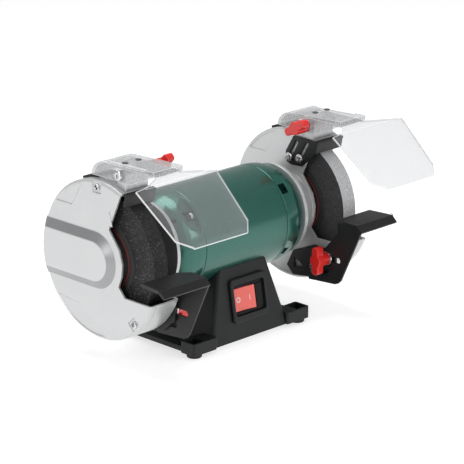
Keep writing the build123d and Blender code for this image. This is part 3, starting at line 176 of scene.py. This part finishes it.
def rounded(node, material, body, radius, steps=2, narrow=0.0):
    """Piece with a CAD node's shape, its hard edges rounded over.
    Faces narrower than the last size take the piece's second material: twice the
    area over the length round it is the width of a strip."""
    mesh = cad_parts[node].data.copy()
    mesh.name = node + "_shape"
    work = bmesh.new()
    work.from_mesh(mesh)
    bmesh.ops.remove_doubles(work, verts=work.verts, dist=SAME_POINT)
    bmesh.ops.dissolve_limit(work, angle_limit=FLAT, verts=work.verts, edges=work.edges)
    sharp = [e for e in work.edges
             if len(e.link_faces) == 2 and e.calc_face_angle(0.0) > HARD_EDGE]
    bmesh.ops.bevel(work, geom=sharp, offset=radius, segments=steps, affect="EDGES",
                    profile=0.5, material=-1, clamp_overlap=False)
    mesh.materials.clear()
    mesh.materials.append(material)
    for face in work.faces:
        face.smooth = True
        face.material_index = int(2 * face.calc_area() / face.calc_perimeter() < narrow)
    bmesh.ops.triangulate(work, faces=[f for f in work.faces if len(f.verts) > 4])
    work.to_mesh(mesh)
    work.free()
    mesh.set_sharp_from_angle(angle=CRISP_EDGE)
    piece = bpy.data.objects.new(mesh.name, mesh)
    bpy.context.scene.collection.objects.link(piece)
    flatter = piece.modifiers.new("even_faces", "WEIGHTED_NORMAL")
    flatter.mode = "FACE_AREA"
    flatter.weight = 80
    flatter.keep_sharp = True
    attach(piece, body)
    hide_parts(node)
    return piece


motor_enamel = surface(
    "motor_enamel", (0.024, 0.150, 0.112), (0.014, 0.100, 0.075), grain=2600.0, metal=0.65,
    rough=0.30, spread=0.04, bump=0.05, depth=0.00005, coat=0.6)
rounded("motor_barrel", motor_enamel, "grinder", radius=0.0005)

# ---- End bells ----
# Cast end caps in the same enamel, with a facet and an open recess for each tie screw.
# Each holds a bearing and carries a wheel guard on its end face.
for side in ("left", "right"):
    rounded("end_bell_" + side, motor_enamel, "grinder", radius=0.0005)

# ---- Fasteners ----
# Zinc-plated screws with cross slots, and the bolts that hold rests and shields.
# They are bright, with a fine drawn grain and dulled patches.
zinc = surface("zinc_plate", (0.74, 0.74, 0.75), (0.60, 0.60, 0.61), grain=1800.0, metal=1.0,
               rough=0.30, spread=0.10, bump=0.08, depth=0.00004)
for node in ("tie_screws", "cover_screws", "arrestor_screws", "pivot_bolts", "rest_bolts"):
    rounded(node, zinc, "grinder", radius=0.00015, steps=1)
dress(zinc, "guard_screws", "cradle_screws")

# ---- Inside the motor ----
# Stacked laminations, varnished copper and cast rotor, all hidden by the barrel.
# The grain follows each material's own scale.
dress(surface("laminations", (0.36, 0.36, 0.38), (0.22, 0.22, 0.24), grain=1500.0, metal=1.0,
              rough=0.45), "stator_core", "rotor_core")
dress(surface("copper", (0.62, 0.26, 0.12), (0.40, 0.14, 0.06), grain=700.0, metal=0.9,
              rough=0.38, bump=0.4, depth=0.0005), "stator_windings")
dress(surface("ground_steel", (0.55, 0.55, 0.56), (0.44, 0.44, 0.45), grain=2200.0, metal=1.0,
              rough=0.28), "shaft", "inner_flange_left", "inner_flange_right",
      "outer_flange_left", "outer_flange_right", "shaft_nut_left", "shaft_nut_right",
      "preload_washer")
dress(surface("bearing_steel", (0.8, 0.8, 0.82), grain=3000.0, metal=1.0, rough=0.14,
              spread=0.05), "bearing_outer_rings", "bearing_inner_rings", "bearing_balls")

# ---- Grinding wheels ----
# Bonded abrasive discs with lightly dressed corners: coarse black silicon grit with
# bright cells as painted glints on the left, fine light-grey grit on the right, its flat
# sides painted near black as painted shade for the inside of the guard.
def overlaid(material, where, colour):
    """Lays a colour over a material's own wherever a value is one."""
    nodes, links = material.node_tree.nodes, material.node_tree.links
    shader = nodes["Principled BSDF"]
    mix = nodes.new("ShaderNodeMix")
    mix.data_type = "RGBA"
    mix.inputs["B"].default_value = (*colour, 1)
    links.new(where, mix.inputs["Factor"])
    links.new(shader.inputs["Base Color"].links[0].from_socket, mix.inputs["A"])
    links.new(mix.outputs["Result"], shader.inputs["Base Color"])


def worked_out(tree, operation, value, number):
    """A material's value after one sum with a number."""
    step = tree.nodes.new("ShaderNodeMath")
    step.operation = operation
    step.inputs[1].default_value = number
    tree.links.new(value, step.inputs[0])
    return step.outputs["Value"]


def grit(name, colour, second, bright_grain_and_glint, size, share, depth):
    """Abrasive: cells of grain of two tones over a rough face, a few of them bright: light
    grains on the fine wheel, painted glints on the coarse one.
    """
    made = surface(name, colour, second, grain=size * 0.6, rough=0.75, spread=0.12,
                   bump=0.9, depth=depth, detail=6.0)
    tree = made.node_tree
    cells = tree.nodes.new("ShaderNodeTexVoronoi")
    cells.inputs["Scale"].default_value = size
    tree.links.new(tree.nodes["Texture Coordinate"].outputs["Object"], cells.inputs["Vector"])
    split = tree.nodes.new("ShaderNodeSeparateColor")
    tree.links.new(cells.outputs["Color"], split.inputs["Color"])
    overlaid(made, worked_out(tree, "GREATER_THAN", split.outputs["Red"], 1.0 - share), bright_grain_and_glint)
    return made


# The coarse grit's few bright cells are painted glints of its black crystals.
coarse_grit = grit("coarse_grit", (0.022, 0.021, 0.023), (0.003, 0.003, 0.003),
                   bright_grain_and_glint=(0.09, 0.085, 0.095), size=1200.0, share=0.06, depth=0.0006)
fine_grit = grit("fine_grit", (0.56, 0.56, 0.57), (0.40, 0.40, 0.41),
                 bright_grain_and_glint=(0.78, 0.78, 0.78), size=1700.0, share=0.12, depth=0.0002)
# The fine wheel's flat sides are painted near black: painted shade for the hollow of the guard
# they turn in.
fine_side_painted_shade = grit("fine_side_painted_shade", (0.045, 0.045, 0.047), (0.022, 0.022, 0.023),
                 bright_grain_and_glint=(0.10, 0.10, 0.10), size=1700.0, share=0.10, depth=0.0002)
rounded("coarse_wheel", coarse_grit, "rotor", radius=0.0010, steps=3)
fine_wheel = rounded("fine_wheel", fine_grit, "rotor", radius=0.0010, steps=3)
fine_wheel.data.materials.append(fine_side_painted_shade)
# Faces square to the shaft take the painted shade.
for face in fine_wheel.data.polygons:
    face.material_index = int(abs(face.normal.x) > 0.9)

# ---- Wheel labels ----
# Printed paper washers clamped under the flanges: dark, with thin red rings.
# The rings are drawn from the distance to the shaft line.
SHAFT_HEIGHT = 0.118
HALF_RING_GAP, HALF_RING_WIDTH = 0.0045, 0.0004
label = surface("printed_label", (0.040, 0.040, 0.042), (0.028, 0.028, 0.030), grain=1400.0,
                rough=0.6, bump=0.1, depth=0.00005)
print_tree = label.node_tree
spot = print_tree.nodes.new("ShaderNodeSeparateXYZ")
print_tree.links.new(print_tree.nodes["Texture Coordinate"].outputs["Object"],
                     spot.inputs["Vector"])
off_shaft = print_tree.nodes.new("ShaderNodeCombineXYZ")
print_tree.links.new(spot.outputs["Y"], off_shaft.inputs["Y"])
print_tree.links.new(worked_out(print_tree, "SUBTRACT", spot.outputs["Z"], SHAFT_HEIGHT),
                     off_shaft.inputs["Z"])
reach = print_tree.nodes.new("ShaderNodeVectorMath")
reach.operation = "LENGTH"
print_tree.links.new(off_shaft.outputs["Vector"], reach.inputs[0])
wave = worked_out(print_tree, "PINGPONG", reach.outputs["Value"], HALF_RING_GAP)
overlaid(label, worked_out(print_tree, "LESS_THAN", wave, HALF_RING_WIDTH), (0.55, 0.03, 0.02))
dress(label, "blotters_left", "blotters_right")

# ---- Guards and covers ----
# Cast alloy pans in satin silver enamel with raised and pressed panels, open at the front.
# The inner pan is screwed to the bell; the outer cover is held by three screws.
silver = surface("silver_enamel", (0.62, 0.625, 0.63), (0.55, 0.555, 0.56), grain=2400.0,
                 metal=0.45, rough=0.33, spread=0.05, bump=0.10, depth=0.00006, coat=0.15)
# Darker, more metallic copy of the silver enamel for the sloping flanks of the raised panels:
# painted shade on the same paint.
shaded_flank = surface("flank_painted_shade", (0.36, 0.365, 0.37), (0.30, 0.305, 0.31), grain=2400.0,
                metal=0.6, rough=0.33, spread=0.05, bump=0.10, depth=0.00006)
# Near-black material for the inside of each pan, its floor and the inner face of its rim:
# painted shade for the hollow, where little light falls.
pan_painted_shade = surface("pan_inside_painted_shade", (0.022, 0.022, 0.023), (0.012, 0.012, 0.013), grain=900.0,
                   rough=0.6, spread=0.1, bump=0.3, depth=0.0001)
PAN_FLOOR, PAN_LIP = 0.1306, 0.140    # how far out the pan's floor ends and its lip starts
PANEL_FOOT = 0.1693                   # how far out the cover's raised panels start
for side, way in (("left", -1), ("right", 1)):
    pan = rounded("inner_guard_" + side, silver, "grinder", radius=0.0005)
    pan.data.materials.append(pan_painted_shade)
    # Faces inside the pan, on its rim and on its floor, take the painted shade.
    for face in pan.data.polygons:
        out = Vector((0, face.center.y, face.center.z - SHAFT_HEIGHT)).normalized()
        on_rim = face.normal.dot(out) < -0.5 and abs(face.center.x) > PAN_FLOOR
        on_floor = face.normal.x * way > 0.5 and abs(face.center.x) < PAN_LIP
        face.material_index = int(on_rim or on_floor)
    cover = rounded("outer_cover_" + side, silver, "grinder", radius=0.0006)
    cover.data.materials.append(shaded_flank)
    # Sloping faces of the raised panels take the painted shade.
    for face in cover.data.polygons:
        sloping = 0.15 < abs(face.normal.x) < 0.93
        face.material_index = int(sloping and abs(face.center.x) > PANEL_FOOT)

# ---- Turning mark ----
# A small arrowhead embossed above the boss of each outer cover.
# It is cast in one with the cover and enamelled with it.
def embossed(name, work, height, soft, place, material, body):
    """Raised mark: a flat outline grown to its height, its edges softened, set in place."""
    grown = bmesh.ops.extrude_face_region(work, geom=work.faces[:])
    bmesh.ops.translate(work, vec=(0, 0, height), verts=[
        v for v in grown["geom"] if isinstance(v, bmesh.types.BMVert)])
    bmesh.ops.recalc_face_normals(work, faces=work.faces)
    if soft:
        bmesh.ops.bevel(work, geom=work.edges[:], offset=soft, segments=2, affect="EDGES",
                        profile=0.5, material=-1)
    work.transform(place)
    mesh = bpy.data.meshes.new(name)
    work.to_mesh(mesh)
    work.free()
    mesh.materials.append(material)
    mark = bpy.data.objects.new(name, mesh)
    bpy.context.scene.collection.objects.link(mark)
    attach(mark, body)


COVER_FACE = 0.1687
ARROW_PLACE = (-0.020, 0.166)
for side, way in (("left", -1), ("right", 1)):
    arrow = bmesh.new()
    bmesh.ops.create_circle(arrow, cap_ends=True, segments=3, radius=0.0068)
    bmesh.ops.scale(arrow, vec=(0.75, 1.6, 1.0), verts=arrow.verts)
    upright = Matrix(((0, 0, way), (way, 0, 0), (0, 1, 0))).to_4x4()
    upright.translation = (way * COVER_FACE, *ARROW_PLACE)
    embossed("turning_arrow_" + side, arrow, 0.0009, 0.0003, upright, silver, "grinder")

# ---- Spark arrestors, rests and brackets ----
# Bent sheet steel in black powder coat, with a fine orange-peel skin.
# Arrestors and rests slide on screws and bolts through their slots.
powder = surface("powder_coat", (0.012, 0.012, 0.013), (0.006, 0.006, 0.007), grain=1100.0,
                 rough=0.42, spread=0.08, bump=0.30, depth=0.00015, shine=0.35)
for side in ("left", "right"):
    rounded("spark_arrestor_" + side, powder, side + "_arrestor", radius=0.0004)
    rounded("tool_rest_" + side, powder, side + "_rest", radius=0.0005)
    rounded("rest_bracket_" + side, powder, "grinder", radius=0.0004)

# ---- Eye shields ----
# Clear polycarbonate: a saddle over the pivot lug and a folded window riveted under it.
# Cut edges are bright and frosted; dark snap rivets join the two.
def see_through(name, colour, passed, low, high):
    """Clear plastic: light goes straight through, more of it lost at a glancing angle."""
    made = surface(name, colour, grain=300.0, rough=0.08, spread=0.04, bump=0.02, depth=0.0001)
    nodes, links = made.node_tree.nodes, made.node_tree.links
    straight = nodes.new("ShaderNodeBsdfTransparent")
    straight.inputs["Color"].default_value = (passed, passed * 1.005, passed * 1.01, 1)
    turned_away = nodes.new("ShaderNodeLayerWeight")
    turned_away.inputs["Blend"].default_value = 0.22
    haze = nodes.new("ShaderNodeMapRange")
    haze.inputs["To Min"].default_value = low
    haze.inputs["To Max"].default_value = high
    links.new(turned_away.outputs["Facing"], haze.inputs["Value"])
    both = nodes.new("ShaderNodeMixShader")
    links.new(haze.outputs["Result"], both.inputs["Fac"])
    links.new(straight.outputs["BSDF"], both.inputs[1])
    links.new(nodes["Principled BSDF"].outputs["BSDF"], both.inputs[2])
    links.new(both.outputs["Shader"], nodes["Material Output"].inputs["Surface"])
    return made


clear = see_through("clear_sheet", (0.88, 0.89, 0.90), 0.865, 0.05, 0.30)
moulded = see_through("clear_moulding", (0.66, 0.67, 0.68), 0.88, 0.28, 0.70)
frosted = surface("frosted_edge", (0.90, 0.91, 0.92), (0.80, 0.81, 0.82), grain=900.0,
                  rough=0.35, spread=0.1, bump=0.1, depth=0.0001)
frosted.node_tree.nodes["Principled BSDF"].inputs["Alpha"].default_value = 0.75
CUT_EDGE = 0.0021    # faces narrower than this are the cut edges of a sheet
for side in ("left", "right"):
    for part, skin in (("shield_holder_", moulded), ("eye_shield_", clear)):
        sheet = rounded(part + side, skin, side + "_shield", radius=0.0003, steps=1,
                        narrow=CUT_EDGE)
        sheet.data.materials.append(frosted)
dress(surface("rivet_plastic", (0.07, 0.07, 0.075), grain=1200.0, rough=0.45),
      "shield_rivets_left", "shield_rivets_right")

# ---- Knobs ----
# Bright red moulded knobs with a bar grip, one for each rest and each shield.
# The moulding is glossy with a very light texture.
red = surface("red_moulding", (0.72, 0.022, 0.018), (0.62, 0.016, 0.013), grain=1500.0,
              rough=0.32, spread=0.06, bump=0.06, depth=0.0001, coat=0.2)
for side in ("left", "right"):
    rounded("shield_knob_" + side, red, side + "_shield_knob", radius=0.0007, steps=3)
    rounded("rest_knob_" + side, red, side + "_rest_knob", radius=0.0007, steps=3)

# ---- Base ----
# Moulded charcoal tower with a cradle, four ears and a switch collar, on rubber feet.
# A galvanised sheet closes it underneath.
charcoal = surface("charcoal_moulding", (0.014, 0.015, 0.016), (0.008, 0.009, 0.010),
                   grain=1600.0, rough=0.46, spread=0.07, bump=0.22, depth=0.00012, shine=0.3)
rounded("base_housing", charcoal, "grinder", radius=0.0006)
rounded("base_ears", charcoal, "grinder", radius=0.0006)
rounded("switch_frame", charcoal, "grinder", radius=0.0005)
rounded("cable_gland", charcoal, "grinder", radius=0.0003)
rubber = surface("rubber", (0.018, 0.018, 0.018), (0.010, 0.010, 0.010), grain=1300.0,
                 rough=0.75, spread=0.08, bump=0.3, depth=0.0002)
rounded("rubber_feet", rubber, "grinder", radius=0.0005)
dress(rubber, "shield_stops")
dress(surface("galvanised_sheet", (0.52, 0.52, 0.53), (0.40, 0.40, 0.41), grain=160.0,
              metal=1.0, rough=0.42, spread=0.12), "base_plate")

# ---- Switch ----
# Red rocker in a black switch block, with moulded white marks for off and on.
# The marks stand a little proud of the rocker's two faces.
switch_black = surface("switch_moulding", (0.012, 0.012, 0.013), grain=1800.0, rough=0.30,
                       bump=0.08, depth=0.00008, shine=0.12)
rounded("switch_body", switch_black, "grinder", radius=0.0004)
rocker_red = surface("rocker_red", (0.86, 0.15, 0.12), (0.78, 0.11, 0.09), grain=1500.0,
                     rough=0.30, spread=0.05, bump=0.06, depth=0.0001, coat=0.3)
rocker = rounded("rocker", rocker_red, "switch_rocker", radius=0.0006, steps=3)
mark_white = surface("mark_white", (0.85, 0.80, 0.80), grain=1200.0, rough=0.45)
FRONT_LEAN = math.radians(9.4)    # how far the tower's front leans back
MARK_OFFSET = 0.008               # from the middle of the rocker to each mark
MARK_HEIGHT, MARK_SINK = 0.0003, 0.00005
rocker_skin = BVHTree.FromPolygons([v.co for v in rocker.data.vertices],
                                   [p.vertices for p in rocker.data.polygons])
rocker_low, rocker_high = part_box("rocker")
rocker_mid = (Vector(rocker_low) + Vector(rocker_high)) / 2
front_out = Vector((0, -math.cos(FRONT_LEAN), math.sin(FRONT_LEAN)))
for mark_name, offset in (("off_mark", -MARK_OFFSET), ("on_mark", MARK_OFFSET)):
    outline = bmesh.new()
    if mark_name == "on_mark":
        bmesh.ops.create_circle(outline, cap_ends=True, segments=4, radius=0.0042)
        bmesh.ops.rotate(outline, verts=outline.verts, cent=(0, 0, 0),
                         matrix=Matrix.Rotation(math.radians(45), 3, "Z"))
        bmesh.ops.scale(outline, vec=(0.13, 1.0, 1.0), verts=outline.verts)
    else:
        for ring in (0.0031, 0.0021):
            bmesh.ops.create_circle(outline, cap_ends=False, segments=40, radius=ring)
        bmesh.ops.bridge_loops(outline, edges=outline.edges[:])
    hit, normal, _, _ = rocker_skin.ray_cast(
        rocker_mid + front_out * 0.05 + Vector((offset, 0, 0)), -front_out)
    across = Vector((1, 0, 0)) - normal * normal.x
    across.normalize()
    lying = Matrix((across, normal.cross(across), normal)).transposed().to_4x4()
    lying.translation = hit - normal * MARK_SINK
    embossed(mark_name, outline, MARK_HEIGHT, 0.0, lying, mark_white, "switch_rocker")

# ---- Behind the switch ----
# White capacitor and cream terminal block, hidden in the tower.
# Both are plain mouldings with a light grain.
dress(surface("capacitor_case", (0.80, 0.80, 0.78), grain=900.0, rough=0.4), "run_capacitor")
dress(surface("terminal_moulding", (0.75, 0.72, 0.60), grain=900.0, rough=0.5),
      "terminal_block")
